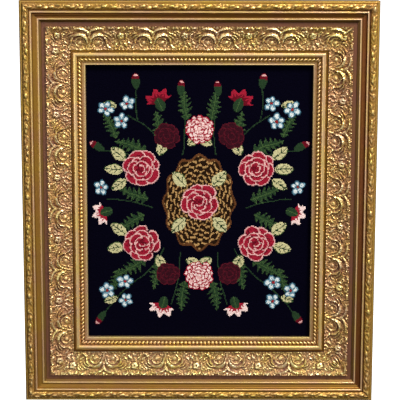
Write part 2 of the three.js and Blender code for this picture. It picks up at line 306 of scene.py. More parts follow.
class Wire:
    """A shader socket in Python arithmetic. An expression on wires adds its Math nodes."""

    def __init__(self, shader, socket):
        self.shader = shader
        self.socket = socket

    def math(self, operation, first, second):
        values = {0: first, 1: second}
        return self.shader.node("ShaderNodeMath", {"operation": operation}, values)

    def __add__(self, other):
        return self.math("ADD", self, other)

    __radd__ = __add__

    def __sub__(self, other):
        return self.math("SUBTRACT", self, other)

    def __rsub__(self, other):
        return self.math("SUBTRACT", other, self)

    def __mul__(self, other):
        return self.math("MULTIPLY", self, other)

    __rmul__ = __mul__

    def ramp(self, low, high, first=0.0, last=1.0):
        """This value taken from the range low to high into the range first to last."""
        values = {0: self, 1: low, 2: high, 3: first, 4: last}
        return self.shader.node("ShaderNodeMapRange", {"clamp": True}, values)


class Shader:
    """The node tree of a material or a world, with one method that makes any node."""

    def __init__(self, owner, surface="Principled BSDF", coordinates="Object"):
        owner.use_nodes = True
        self.owner = owner
        self.tree = owner.node_tree
        self.surface = self.tree.nodes[surface]
        self.place = self.node("ShaderNodeTexCoord", output=coordinates)

    def node(self, kind, settings=None, values=None, output=0):
        made = self.tree.nodes.new(kind)
        for key, value in (settings or {}).items():
            setattr(made, key, value)
        self.feed(made, values or {})
        return Wire(self, made.outputs[output])

    def feed(self, node, values):
        for key, value in values.items():
            if isinstance(value, Wire):
                self.tree.links.new(value.socket, node.inputs[key])
            elif isinstance(value, tuple) and len(value) == 3 and node.inputs[key].type == "RGBA":
                node.inputs[key].default_value = (*value, 1)
            else:
                node.inputs[key].default_value = value

    def finish(self, values):
        self.feed(self.surface, values)
        return self.owner

    def attribute(self, name, output):
        return self.node("ShaderNodeAttribute", {"attribute_name": name}, output=output)

    def noise(self, scale, detail=3, roughness=0.55):
        values = {"Vector": self.place, "Scale": scale, "Detail": detail, "Roughness": roughness}
        return self.node("ShaderNodeTexNoise", values=values, output="Fac")

    def mix(self, factor, first, second, blend="MIX"):
        settings = {"data_type": "RGBA", "blend_type": blend}
        return self.node("ShaderNodeMix", settings, {0: factor, 6: first, 7: second}, 2)

    def bump(self, height, strength, distance):
        values = {"Height": height, "Strength": strength, "Distance": distance}
        return self.node("ShaderNodeBump", values=values)


def gilt_material(name, patina, grain):
    """Worn metal leaf over red-brown toning. The mesh's tint and wear say what each place has."""
    shader = Shader(bpy.data.materials.new(name))
    tint = shader.attribute("tint", "Color")
    wear = shader.attribute("wear", "Fac")
    cloud = shader.noise(26, 5, 0.6).ramp(0.38, 0.62)
    rub = shader.noise(160, 5, 0.65).ramp(0.45, 0.7)
    speck = shader.noise(900, 2)
    mauve = shader.mix(1.0, tint, MAUVE_CLOUD, "MULTIPLY")
    yellow = shader.mix(1.0, tint, YELLOW_CLOUD, "MULTIPLY")
    toned = shader.mix(cloud, mauve, yellow)
    rubbed = shader.mix(rub * (1 - wear) * 0.45, toned, patina)
    return shader.finish(
        {
            "Base Color": rubbed,
            "Metallic": wear * 0.55 + 0.35,
            "Roughness": 0.5 - wear * 0.2 + rub * 0.1,
            "Normal": shader.bump(speck + rub, grain, 0.25 * MM),
            "Specular IOR Level": 0.5,
        }
    )


def wood_material(name, scales):
    """Bare softwood, as on a rail's back and in its rebate. The grain runs along the smallest scale."""
    shader = Shader(bpy.data.materials.new(name))
    mapped = shader.node("ShaderNodeMapping", values={"Vector": shader.place, "Scale": scales})
    values = {"Vector": mapped, "Scale": 3.0, "Detail": 6, "Roughness": 0.6}
    grain = shader.node("ShaderNodeTexNoise", values=values, output="Fac").ramp(0.35, 0.65)
    colour = shader.mix(grain, *BARE_WOOD)
    normal = shader.bump(grain, 0.3, 0.3 * MM)
    return shader.finish({"Base Color": colour, "Roughness": 0.75, "Normal": normal})


def pile_material(name, knot_size, relief):
    """Wool knots: each shows its own tuft, and the dye varies a little from knot to knot."""
    shader = Shader(bpy.data.materials.new(name))
    yarn = shader.attribute("yarn", "Color")
    shade = shader.noise(240, 2).ramp(0.3, 0.7)
    dyed = shader.mix(shade * 0.35, yarn, shader.mix(1.0, yarn, (0.45, 0.45, 0.5), "MULTIPLY"))
    values = {"Vector": shader.place, "Scale": 1 / knot_size, "Randomness": 0.7}
    tuft = 1 - shader.node("ShaderNodeTexVoronoi", values=values, output="Distance")
    normal = shader.bump(tuft, relief, 0.8 * MM)
    surface = {"Base Color": dyed, "Roughness": 0.95, "Specular IOR Level": 0.02, "Normal": normal}
    return shader.finish(surface)


def make_piece(name, points, faces, materials, attributes, face_materials=None):
    """A piece from its points in metres and its faces, turned so that they look outwards."""
    mesh = bpy.data.meshes.new(name)
    mesh.from_pydata(points, [], faces)
    fans = [(f[0], f[i], f[i + 1]) for f in faces if len(f) > 4 for i in range(1, len(f) - 1)]
    quads = np.array([f for f in faces if len(f) == 4])
    triangles = np.vstack([quads[:, [0, 1, 2]], quads[:, [0, 2, 3]]] + ([np.array(fans)] if fans else []))
    a, b, c = (points[triangles[:, i]] for i in range(3))
    # A negative volume means that the faces look inwards.
    if np.einsum("ij,ij->i", a, np.cross(b, c)).sum() < 0:
        mesh.flip_normals()
    for attribute, (kind, domain, values) in attributes.items():
        made = mesh.attributes.new(attribute, kind, domain)
        field = "color" if kind == "FLOAT_COLOR" else "value"
        made.data.foreach_set(field, np.ascontiguousarray(values, dtype=np.float32).ravel())
    for material in materials:
        mesh.materials.append(material)
    if face_materials is not None:
        mesh.polygons.foreach_set("material_index", np.array(face_materials, dtype=np.int32))
    mesh.update()
    piece = bpy.data.objects.new(name, mesh)
    bpy.context.scene.collection.objects.link(piece)
    return piece


def with_alpha(colours):
    """The colours with a fourth, solid channel."""
    return np.concatenate([colours, np.ones((*colours.shape[:-1], 1))], axis=-1)


def smooth(piece, sharp_degrees):
    piece.data.shade_smooth()
    piece.data.set_sharp_from_angle(angle=math.radians(sharp_degrees))


def settle(piece, slot, *nodes):
    """The piece rides on the frame's one body, and stands for its construction nodes."""
    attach(piece, "root")
    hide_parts(*nodes)


class Rail:
    """One side of the frame, and how its own directions lie in the world."""

    def __init__(self, name, inward, along, length, from_middle, scrolls_at):
        self.name = name
        self.inward = np.array(inward, float)
        self.along = np.array(along, float)
        self.length = length
        self.from_middle = from_middle
        self.scrolls_at = scrolls_at
        self.random = np.random.default_rng([SEED, *name.encode()])

    def half(self, across):
        """Half the rail's length at this distance from its outer edge, up to the mitre."""
        return self.length / 2 - across - MITRE_SEAM

    def lengthwise(self, across, steps):
        """Places from mitre to mitre: a row for each step along, a column for each place across."""
        return np.linspace(-1, 1, steps + 1)[:, None] * self.half(across)[None, :]

    def place(self, across, height, along):
        """World points in metres."""
        across, height, along = (a[..., None] for a in np.broadcast_arrays(across, height, along))
        middle = np.array([(LEFT + RIGHT) / 2, 0, MIDDLE_Z])
        front = np.array([0.0, -1.0, 0.0])
        inward = (across - self.from_middle) * self.inward
        return (middle + inward + height * front + along * self.along) * MM


# Columns: name, inward direction, lengthwise direction, length, the outer edge's distance from the
# frame's middle, and where the middle of a pair of scrolls lies along the rail.
RAILS = [
    Rail("top", (0, 0, -1), (-1, 0, 0), OUTER_WIDTH, OUTER_HEIGHT / 2, -31),
    Rail("right", (-1, 0, 0), (0, 0, 1), OUTER_HEIGHT, OUTER_WIDTH / 2, 16),
    Rail("bottom", (0, 0, 1), (1, 0, 0), OUTER_WIDTH, OUTER_HEIGHT / 2, 52),
    Rail("left", (1, 0, 0), (0, 0, -1), OUTER_HEIGHT, OUTER_WIDTH / 2, 9),
]


class Section:
    """A rail's outline, drawn from stretches that each have a finish."""

    def __init__(self, across, height):
        self.points = [(across, height)]
        self.finishes = []

    def line(self, finish, across, height, steps=2):
        start = self.points[-1]
        for i in range(1, steps + 1):
            share = i / steps
            self.add(finish, between((start[0], across), share), between((start[1], height), share))

    def curve(self, finish, control, end, steps=12):
        start = self.points[-1]
        for i in range(1, steps + 1):
            t = i / steps
            weights = ((1 - t) ** 2, 2 * t * (1 - t), t * t)
            sides = zip(start, control, end)
            self.add(finish, *(sum(w * p for w, p in zip(weights, side)) for side in sides))

    def bead(self, finish, shape, steps=18):
        self.line(finish, shape["across"] + shape["half"], shape["height"], 1)
        for i in range(1, steps + 1):
            across, rise = (float(share) for share in full_round(math.pi * i / steps))
            height = shape["height"] + shape["rise"] * rise
            self.add(finish, shape["across"] + shape["half"] * across, height)

    def add(self, finish, across, height):
        self.points.append((across, height))
        self.finishes.append(finish)


def full_round(turn):
    """The way across and the height of a half-round with full shoulders, both up to 1."""
    across, rise = np.cos(turn), np.clip(np.sin(turn), 0, 1)
    return np.sign(across) * np.abs(across) ** SHOULDER, rise**SHOULDER


def band_height(across):
    """The height of the ornament's ground at places across the band, which is a scoop."""
    share = np.clip((across - BAND["outer"]) / (BAND["inner"] - BAND["outer"]), 0, 1)
    return BAND["lowest"] + (BAND["highest"] - BAND["lowest"]) * (1 - share) ** 2


def rail_section():
    """The rail's section, from its outer edge along the back, and from the sight edge over the front."""
    inner = RAIL_WIDTH - REBATE["width"]
    section = Section(0, 0)
    section.line("wood", inner, 0)
    section.line("wood", inner, REBATE["depth"])
    section.line("wood", RAIL_WIDTH, REBATE["depth"])
    section.line("lip", RAIL_WIDTH, SIGHT_NOSE["side"])
    section.curve("lip", (RAIL_WIDTH, SIGHT_NOSE["crown"][1]), SIGHT_NOSE["crown"], 5)
    section.curve("lip", (SIGHT_NOSE["foot"][0], SIGHT_NOSE["crown"][1]), SIGHT_NOSE["foot"], 5)
    section.line("sand", *SIGHT_SLOPE, 4)
    section.line("ochre", BEAD_SEAT["inner"], BEAD_SEAT["floor"])
    section.line("ochre", BEAD_SEAT["outer"], BEAD_SEAT["floor"])
    section.bead("ridge", RIDGE, 18)
    section.line("ochre", *INNER_GROOVE)
    section.line("ochre", BAND["inner"] + CLEARANCE, INNER_GROOVE[1])
    for i in range(SEAT_STEPS + 1):
        across = BAND["inner"] + CLEARANCE - i / SEAT_STEPS * (BAND["inner"] - BAND["outer"])
        section.add("seat", across, float(band_height(across)) - BAND["strip"] - CLEARANCE)
    section.line("channel", BAND["outer"] - CLEARANCE, CHANNEL["floor"])
    section.line("channel", CHANNEL["outer"], CHANNEL["floor"], 4)
    section.line("olive", *CHANNEL["lip"])
    section.line("olive", MIDDLE_FILLET["across"] + MIDDLE_FILLET["half"], MIDDLE_FILLET["height"], 4)
    section.bead("fillet", MIDDLE_FILLET)
    section.line("cove", *COVE_END, 1)
    section.curve("cove", INNER_COVE, COVE_RIB, 8)
    fillet_foot = OUTER_FILLET["across"] + OUTER_FILLET["half"]
    section.curve("cove", OUTER_COVE, (fillet_foot, OUTER_FILLET["height"]), 10)
    section.bead("fillet", OUTER_FILLET)
    section.line("groove", *RIM_GROOVE)
    section.line("groove", RIM["across"] + RIM["half"] + CLEARANCE, RIM["seat"] - CLEARANCE)
    section.line("seat", RIM["across"] - RIM["half"], RIM["seat"] - CLEARANCE)
    section.bead("edge", RIM_EDGE)
    section.line("flank", 0, RIM_EDGE["height"])
    section.line("flank", 0, 0, 8)
    # The outline closes on its first point, so the last one isn't kept.
    section.points.pop()
    return section


def make_rail(rail, materials):
    """One length of moulding, cut at both mitres."""
    section = rail_section()
    across, height = np.array(section.points).T
    size = len(across)
    along = rail.lengthwise(across, RAIL_STEPS)
    points = rail.place(across[None, :], height[None, :], along).reshape(-1, 3)
    faces = []
    face_materials = []
    for i in range(RAIL_STEPS):
        for j in range(size):
            k = (j + 1) % size
            faces.append((i * size + j, i * size + k, (i + 1) * size + k, (i + 1) * size + j))
            face_materials.append(1 if section.finishes[j] == "wood" else 0)
    faces.append(tuple(range(size - 1, -1, -1)))
    faces.append(tuple(RAIL_STEPS * size + j for j in range(size)))
    face_materials += [1, 1]
    # A point takes the finish of the stretch that ends at it.
    finishes = [section.finishes[0], *section.finishes[: size - 1]]
    colours = np.array([paint(FINISHES[finish][0]) for finish in finishes])
    wear = np.array([FINISHES[finish][1] for finish in finishes])
    # Painted shade, and partly the red ground: each finish is mixed toward dark red-brown by its rail's
    # share.
    shade_and_ground = np.array([SHADE_AND_GROUND_SHARES[rail.name].get(finish, 0) for finish in finishes])[:, None]
    colours += shade_and_ground * (np.array(RED_SHADE_AND_GROUND) - colours)
    rows = RAIL_STEPS + 1
    attributes = {
        "tint": ("FLOAT_COLOR", "POINT", with_alpha(np.tile(colours, (rows, 1)))),
        "wear": ("FLOAT", "POINT", np.tile(wear, rows)),
    }
    piece = make_piece("gilt_rail_" + rail.name, points, faces, materials, attributes, face_materials)
    smooth(piece, SHARP["rail"])
    settle(piece, "gilt", "rail_" + rail.name)


def spline(route, step=0.5):
    """Points along a smooth curve through the route, about a step apart."""
    nodes = np.array(route, float)
    if len(nodes) == 2:
        count = max(int(np.linalg.norm(nodes[1] - nodes[0]) / step), 2)
        return nodes[0] + np.linspace(0, 1, count)[:, None] * (nodes[1] - nodes[0])
    ends = np.vstack([2 * nodes[0] - nodes[1], nodes, 2 * nodes[-1] - nodes[-2]])
    pieces = []
    for i in range(len(nodes) - 1):
        p0, p1, p2, p3 = ends[i : i + 4]
        count = max(int(np.linalg.norm(p2 - p1) / step), 2)
        t = np.linspace(0, 1, count, endpoint=i == len(nodes) - 2)[:, None]
        bend = 2 * p0 - 5 * p1 + 4 * p2 - p3
        pieces.append(0.5 * (2 * p1 + (p2 - p0) * t + bend * t**2 + (3 * p1 - p0 - 3 * p2 + p3) * t**3))
    return np.vstack(pieces)


def blurred(height, radius):
    """The height field smoothed over a radius in cells, wrapping round at its edges."""
    rows, columns = height.shape
    down = np.fft.fftfreq(rows)[:, None]
    over = np.fft.rfftfreq(columns)[None, :]
    kept = np.exp(-2 * (math.pi * radius) ** 2 * (over**2 + down**2))
    return np.fft.irfft2(np.fft.rfft2(height) * kept, s=height.shape)


class Relief:
    """A repeating tile of carving, as heights over a ground. Rows run along and columns across."""

    def __init__(self, pitch, width):
        self.pitch = pitch
        self.width = width
        self.rows = round(pitch / TILE_CELL)
        self.columns = round(width / TILE_CELL)
        self.along, self.across = np.meshgrid(
            (np.arange(self.rows) + 0.5) * pitch / self.rows,
            (np.arange(self.columns) + 0.5) * width / self.columns,
            indexing="ij",
        )
        self.height = np.zeros((self.rows, self.columns))

    def wrapped(self, along):
        """How far each cell lies from a place along the tile, the shorter way round."""
        return (self.along - along + self.pitch / 2) % self.pitch - self.pitch / 2

    def raise_to(self, height):
        self.height = np.maximum(self.height, height)

    def stroke(self, kind, half_width, rise, route, hand=1):
        """A raised stroke along a route, pointed at its end and swelling in its middle.

        A fold climbs slowly from one side and drops steeply on the side that hand says.
        """
        spine = spline(route)
        middle = spine[:, 0].mean()
        along = self.wrapped(middle) + middle
        margin = half_width + 1
        near = (along > spine[:, 0].min() - margin) & (along < spine[:, 0].max() + margin)
        near &= (self.across > spine[:, 1].min() - margin) & (self.across < spine[:, 1].max() + margin)
        cells = np.stack([along[near], self.across[near]], axis=1)
        if not len(cells):
            return
        distances = np.linalg.norm(cells[:, None, :] - spine[None, :, :], axis=2)
        nearest = distances.argmin(axis=1)
        share = nearest / (len(spine) - 1)
        away = distances[np.arange(len(cells)), nearest]
        heading = np.gradient(spine, axis=0)[nearest]
        offset = cells - spine[nearest]
        lean = np.sign(heading[:, 0] * offset[:, 1] - heading[:, 1] * offset[:, 0]) * hand
        if kind == "round":
            swell = np.ones_like(share)
        else:
            swell = 0.3 + 0.7 * np.sin(math.pi * (0.12 + 0.86 * share)) ** 0.8
        half = half_width * swell
        reach = np.clip(away / half, 0, 1)
        over = (1 - lean * reach) / 2
        profiles = {
            "round": np.sqrt(1 - reach**2),
            "fold": (1 - over) ** 0.7 * np.clip(over / 0.16, 0, 1) ** 0.6,
            "blade": (1 - reach) ** 0.75,
            "leaf": (1 - reach**2) ** 0.7 * (1 - 0.4 * np.exp(-((reach / 0.22) ** 2))),
        }
        raised = np.zeros_like(self.height)
        raised[near] = np.where(away < half, rise * (0.55 + 0.45 * swell) * profiles[kind], 0)
        self.raise_to(raised)

    def dome(self, along, across, radius, rise):
        distance = np.hypot(self.wrapped(along), self.across - across)
        self.raise_to(rise * np.sqrt(np.clip(1 - (distance / radius) ** 2, 0, 1)))

    def spiral(self, shape, side):
        """A scroll that winds in to its eye, over a hollow dish."""
        distance = np.hypot(self.wrapped(side * shape["along"]), self.across - shape["across"])
        inside = distance < shape["radius"]
        dish = SCROLL_DISH["floor"] + SCROLL_DISH["climb"] * (distance / shape["radius"]) ** 2
        self.height = np.where(inside, np.minimum(self.height, dish), self.height)
        steps = int(SCROLL_STEPS * shape["turns"])
        route = []
        for i in range(steps + 1):
            share = i / steps
            radius = between((shape["radius"], shape["eye"]), share**1.6)
            angle = share * shape["turns"] * 2 * math.pi
            along = side * (shape["along"] - radius * math.cos(angle))
            route.append((along, shape["across"] - radius * math.sin(angle)))
        self.stroke("round", shape["half"], shape["rise"], route)
        shift = SCROLL_EYE["shift"]
        eye = (side * (shape["along"] - shift), shape["across"] + shift)
        self.dome(*eye, shape["eye"] * SCROLL_EYE["radius_share"], shape["rise"])

    def crest_hollow(self, side):
        """The smooth ground about a volute, cut below the flecks."""
        ahead = -side * self.wrapped(side * VOLUTE["along"])
        above = VOLUTE["across"] - self.across
        angle = np.degrees(np.arctan2(above, ahead))
        distance = np.hypot(ahead, above)
        inside = (distance > CREST_HOLLOW["inner"]) & (distance < CREST_HOLLOW["outer"])
        inside &= (angle > CREST_HOLLOW["first"]) & (angle < CREST_HOLLOW["last"])
        self.height = np.where(inside, np.minimum(self.height, CREST_HOLLOW["floor"]), self.height)

    def crest_leaf(self, leaf, side):
        """A leaf that follows the volute's outside, with its steep edge towards it."""
        near, far, first, last, half_width, rise = leaf
        route = []
        for i in range(CREST_STEPS + 1):
            radius = between((near, far), i / CREST_STEPS)
            angle = math.radians(between((first, last), i / CREST_STEPS))
            along = side * (VOLUTE["along"] - radius * math.cos(angle))
            route.append((along, VOLUTE["across"] - radius * math.sin(angle)))
        self.stroke("fold", half_width, rise, route, side)

    def rosette(self, along, shape):
        """A flower of round petals about a small hole."""
        ahead = self.wrapped(along)
        aside = self.across - shape["across"]
        distance = np.hypot(ahead, aside)
        lobe = np.abs(np.cos(shape["petals"] / 2 * np.arctan2(aside, ahead)))
        edge = shape["radius"] * (0.74 + 0.26 * lobe**0.6)
        reach = np.clip(distance / edge, 0, 1)
        petals = shape["rise"] * np.sqrt(1 - reach**6) * (0.84 + 0.16 * lobe**0.5)
        petals *= np.clip(distance / shape["hole"], 0.15, 1)
        self.raise_to(np.where(reach < 1, petals, 0))

    def sample(self, along, across):
        """Heights at places on a rail, with the tile repeated along it."""
        return self.look_up(self.height, along, across)

    def look_up(self, field, along, across):
        """A field's values at places on a rail, blended from the four nearest cells."""
        row = (along / self.pitch * self.rows - 0.5) % self.rows
        column = np.clip(across / self.width * self.columns - 0.5, 0, self.columns - 1.001)
        first, left = np.floor(row).astype(int), np.floor(column).astype(int)
        down, over = row - first, column - left
        second = (first + 1) % self.rows
        first %= self.rows
        low = field[first, left] * (1 - over) + field[first, left + 1] * over
        high = field[second, left] * (1 - over) + field[second, left + 1] * over
        return low * (1 - down) + high * down

    def cavity(self, radius):
        """How far each place stands above its surroundings, in millimetres."""
        margin = self.columns // 2
        padded = np.pad(self.height, ((0, 0), (margin, margin)), mode="reflect")
        smoothed = blurred(padded, radius / TILE_CELL)
        return self.height - smoothed[:, margin : margin + self.columns]


def ornament_relief():
    """The scrolled leaf ornament that repeats along the band."""
    random = np.random.default_rng(SEED)
    relief = Relief(ORNAMENT_PITCH, BAND["inner"] - BAND["outer"])
    ground = blurred(random.random(relief.height.shape) - 0.5, GROUND_GRAIN["radius"])
    relief.height = GROUND_GRAIN["rise"] * ground
    for _ in range(PEBBLES["count"]):
        along, across, size = random.random(3)
        radius, rise = between(PEBBLES["radius"], size), between(PEBBLES["rise"], size)
        relief.dome(along * ORNAMENT_PITCH, across * relief.width, radius, rise)
    for _ in range(FLECKS["count"]):
        along, across, turn, *shares = random.random(6)
        sizes = (FLECKS["length"], FLECKS["half"], FLECKS["rise"])
        length, half_width, rise = (between(*size) for size in zip(sizes, shares))
        ends = np.array([math.cos(turn * math.pi), math.sin(turn * math.pi)]) * length / 2
        middle = np.array([along * ORNAMENT_PITCH, across * relief.width])
        relief.stroke("leaf", half_width, rise, [middle - ends, middle + ends])
    for side in (1, -1):
        relief.crest_hollow(side)
    for side in (1, -1):
        relief.spiral(VOLUTE, side)
        relief.spiral(CURL, side)
        for leaf in reversed(CREST):
            relief.crest_leaf(leaf, side)
    for kind, half_width, rise, mirrored, route in STROKES:
        for side in (1, -1) if mirrored else (1,):
            relief.stroke(kind, half_width, rise, [(side * w, x) for w, x in route], side)
    relief.rosette(ORNAMENT_PITCH / 2, ROSETTE)
    for across, radius, rise, count in EDGE_DOTS:
        for i in range(count):
            relief.dome((i + 0.5) * ORNAMENT_PITCH / count, across, radius, rise)
    grain = blurred(random.random(relief.height.shape) - 0.5, SURFACE_GRAIN["radius"])
    relief.height += SURFACE_GRAIN["rise"] * grain / grain.std()
    return relief


def rim_relief():
    """The rim's leaves, laid end to end round a half-round. Across is the way round the rim."""
    width = math.pi * RIM["half"]
    relief = Relief(RIM_LEAVES * RIM_LEAF_PITCH, width)
    random = np.random.default_rng(SEED + 2)
    grain = blurred(random.random(relief.height.shape) - 0.5, RIM_GRAIN["radius"])
    relief.height += RIM_GRAIN["rise"] * grain
    for i in range(RIM_LEAVES):
        start = (i + RIM_SHIFT["leaf"] * random.random()) * RIM_LEAF_PITCH
        for side in (1, -1):
            for out, reach in RIM_FOLDS:
                shift, tilt, swell = random.random(3)
                begin = start + out + RIM_SHIFT["fold"] * shift
                foot = (begin, width * (0.5 + side * RIM_FOLD["foot"]))
                bend = (begin + reach / 2, width * (0.5 + side * between(RIM_FOLD["bend"], tilt)))
                tip = (begin + reach, width * (0.5 + side * between(RIM_FOLD["tip"], tilt)))
                half_width, rise = between(RIM_FOLD["half"], swell), between(RIM_FOLD["rise"], swell)
                relief.stroke("fold", half_width, rise, [foot, bend, tip], side)
        for out in RIM_BLADE["starts"]:
            shift, sway, swell = random.random(3)
            begin = start + out + RIM_SHIFT["blade"] * shift
            middle = width * (0.5 + between(RIM_BLADE["middle"], sway))
            route = [(begin, middle), (begin + RIM_BLADE["length"], middle)]
            half_width, rise = between(RIM_BLADE["half"], swell), between(RIM_BLADE["rise"], swell)
            relief.stroke("blade", half_width, rise, route)
        for _ in range(RIM_DOT["count"]):
            along, across, size = random.random(3)
            radius, rise = between(RIM_DOT["radius"], size), between(RIM_DOT["rise"], size)
            relief.dome(start + along * RIM_LEAF_PITCH, width * across, radius, rise)
    return relief


def leafing(cavity, height, tones):
    """Colours and wear of carved gilding: toning in the hollows, bright leaf on what stands up."""
    level = LEAFING["level"] + LEAFING["by_cavity"] * cavity + LEAFING["by_height"] * height
    level = np.clip(level, 0, 1)[..., None]
    low, middle, high = (np.array(tone) for tone in tones)
    colours = np.where(
        level < 0.5,
        between((low, middle), level * 2),
        between((middle, high), (level - 0.5) * 2),
    )
    return colours, level[..., 0]


def make_relief_strip(name, top, bottom, colours, wear, material):
    """A closed strip from the grid of its carved face and a coarser grid of its underside."""
    rows, columns = top.shape[:2]
    low = bottom.shape[1]
    points = np.vstack([top.reshape(-1, 3), bottom.reshape(-1, 3)])
    grid = np.arange(rows * columns).reshape(rows, columns)
    under = rows * columns + np.arange(rows * low).reshape(rows, low)

    def quads(a, b, c, d):
        return np.stack([a.ravel(), b.ravel(), c.ravel(), d.ravel()], axis=1).tolist()

    faces = quads(grid[:-1, :-1], grid[:-1, 1:], grid[1:, 1:], grid[1:, :-1])
    faces += quads(under[:-1, :-1], under[1:, :-1], under[1:, 1:], under[:-1, 1:])
    faces += quads(grid[:-1, 0], grid[1:, 0], under[1:, 0], under[:-1, 0])
    faces += quads(grid[:-1, -1], under[:-1, -1], under[1:, -1], grid[1:, -1])
    faces.append([*grid[0, ::-1].tolist(), *under[0].tolist()])
    faces.append([*grid[-1].tolist(), *under[-1, ::-1].tolist()])
    hidden = rows * low
    tint = np.vstack([colours.reshape(-1, 3), np.tile(HOLLOW, (hidden, 1))])
    shine = np.concatenate([wear.ravel(), np.zeros(hidden)])
    attributes = {
        "tint": ("FLOAT_COLOR", "POINT", with_alpha(tint)),
        "wear": ("FLOAT", "POINT", shine),
    }
    piece = make_piece(name, points, faces, [material], attributes)
    smooth(piece, SHARP["carving"])
    return piece


def make_ornament(rail, relief, cavity, cell, material):
    """The band's carved strip on one rail."""
    columns = round((BAND["inner"] - BAND["outer"]) / cell)
    across = np.linspace(BAND["outer"] + CLEARANCE, BAND["inner"] - CLEARANCE, columns + 1)
    rows = round(2 * rail.half(BAND["outer"]) / cell)
    along = rail.lengthwise(across, rows)
    wide = np.broadcast_to(across[None, :], along.shape)
    where = along - rail.scrolls_at
    height = relief.sample(where, wide - BAND["outer"])
    hollow = relief.look_up(cavity, where, wide - BAND["outer"])
    drift = blurred(rail.random.random(along.shape) - 0.5, PRESSING["radius"])
    drift /= np.abs(drift).max()
    lifted = band_height(wide) + height * (1 + PRESSING["share"] * drift)
    top = rail.place(wide, lifted, along)
    few = across[np.linspace(0, columns, UNDERSIDE_COLUMNS).astype(int)]
    under = band_height(few)[None, :] - BAND["strip"]
    bottom = rail.place(few[None, :], under, rail.lengthwise(few, rows))
    colours, wear = leafing(hollow, height, BAND_TONES)
    # Painted shade: this rail's ornament is darkened as the light falls on its side.
    colours *= BAND_PAINTED_SHADES[rail.name]
    piece = make_relief_strip("carved_band_" + rail.name, top, bottom, colours, wear, material)
    settle(piece, "aged_gilt", "ornament_" + rail.name)


def make_rim(rail, relief, cavity, material):
    """The run of leaves on one rail's rim."""
    foot = RIM_MESH["foot"]
    rows = round(2 * rail.half(0) / RIM_MESH["cell"])
    turn = np.linspace(0, math.pi, RIM_MESH["columns"] + 1)
    round_across, round_rise = full_round(turn)
    across = RIM["across"] - RIM["half"] * round_across
    rise = RIM["rise"] - RIM_MESH["leaf_rise"]
    base = RIM["seat"] + foot + (rise - foot) * round_rise
    along = rail.lengthwise(across, rows)
    way = np.broadcast_to((turn / math.pi * relief.width)[None, :], along.shape)
    height = relief.sample(along, way)
    hollow = relief.look_up(cavity, along, way)
    pushed = height * np.sin(turn)[None, :] ** 0.4
    wide = across[None, :] - pushed * np.cos(turn)[None, :]
    lifted = base[None, :] + pushed * np.sin(turn)[None, :]
    top = rail.place(np.maximum(wide, RIM_EDGE["across"] + RIM_EDGE["half"]), lifted, along)
    few = across[[0, -1]]
    bottom = rail.place(few[None, :], np.full((1, 2), RIM["seat"]), rail.lengthwise(few, rows))
    # Painted light: both steep sides of the rim are made brighter, and more burnished, than their carving
    # gives.
    sides = np.cos(turn)[None, :] ** 4
    colours, wear = leafing(hollow * RIM_CONTRAST + sides, height, RIM_TONES)
    piece = make_relief_strip("leaf_rim_" + rail.name, top, bottom, colours, wear, material)
    settle(piece, "aged_gilt", "rim_leaves_" + rail.name)


def make_beads(rail, material):
    """The run of small half beads beside the sight edge, joined by their cord."""
    middle = (BEAD_SEAT["outer"] + BEAD_SEAT["inner"]) / 2
    seat = BEAD_SEAT["floor"]
    turn = np.linspace(0, math.pi, BEAD_MESH["columns"] + 1)
    span = rail.half(middle)
    rows = round(2 * span / BEAD["pitch"]) * BEAD_MESH["rows"]
    along = np.linspace(-1, 1, rows + 1) * span
    phase = (along / BEAD["pitch"]) % 1 * 2 - 1
    ball = np.sqrt(np.clip(1 - (phase / BEAD["length_share"]) ** 2, 0, 1))
    girth = np.maximum(ball, BEAD["cord"])[:, None]
    wide = middle - girth * BEAD["half"] * np.cos(turn)[None, :]
    lifted = seat + BEAD["foot"] + girth * BEAD["rise"] * np.sin(turn)[None, :]
    place = np.broadcast_to(along[:, None], wide.shape) * rail.half(wide) / span
    top = rail.place(wide, lifted, place)
    edges = wide[:, [0, -1]]
    bottom = rail.place(edges, np.full_like(edges, seat), place[:, [0, -1]])
    # Painted light: each bead is bright at its crest, with painted shade down its sides and on the cord,
    # partly toning between the beads; its wear follows.
    bright = np.broadcast_to((girth - BEAD["cord"]) / (1 - BEAD["cord"]), wide.shape)
    bright = bright * between(BEAD_PAINTED_LIGHT_AND_WEAR["side"], np.sin(turn)[None, :])
    tones = (np.array(HOLLOW), np.array(paint(FINISHES["bead"][0])))
    colours = between(tones, bright[..., None] ** BEAD_PAINTED_LIGHT_AND_WEAR["power"])
    wear = between(BEAD_PAINTED_LIGHT_AND_WEAR["wear"], bright)
    piece = make_relief_strip("bead_run_" + rail.name, top, bottom, colours, wear, material)
    settle(piece, "gilt", "beads_" + rail.name)


# The rug's yarns, as screen colours.
YARNS = {
    "crimson": 0x981C30,
    "wine": 0x64101E,
    "pink": 0xDCA8A4,
    "blush": 0xEED2CC,
    "maroon": 0x34101A,
    "garnet": 0x4E1420,
    "leaf": 0x243A24,
    "moss": 0x3E5630,
    "cream": 0xC2BC8C,
    "sky": 0x6890A2,
    "snow": 0xD4DEDC,
    "sea": 0x284A5C,
    "tan": 0xB48E58,
    "bark": 0x5E3A20,
    "umber": 0x24160C,
    "warp": 0xB7A27C,
}
# How far the knots stray from the drawn design: a slow sway, with its radius in knots, and a jitter.
STRAYING = {"radius": 5, "sway": 2.2, "jitter": 0.45}
# The rug's face in millimetres: how deep its ground lies behind the front of the rug's space, and how
# uneven it is from knot to knot and over a radius in knots. A motif's pile stands taller than the ground.
NAP = {"ground": 1.0, "uneven": 0.5, "swell": 0.35, "radius": 12}
MOTIF_PILE = 0.4
# The oval in the middle, with its rows of wool from the middle to the edge.
MEDALLION = {"half_width": 64, "half_height": 86, "rows": 9.5}


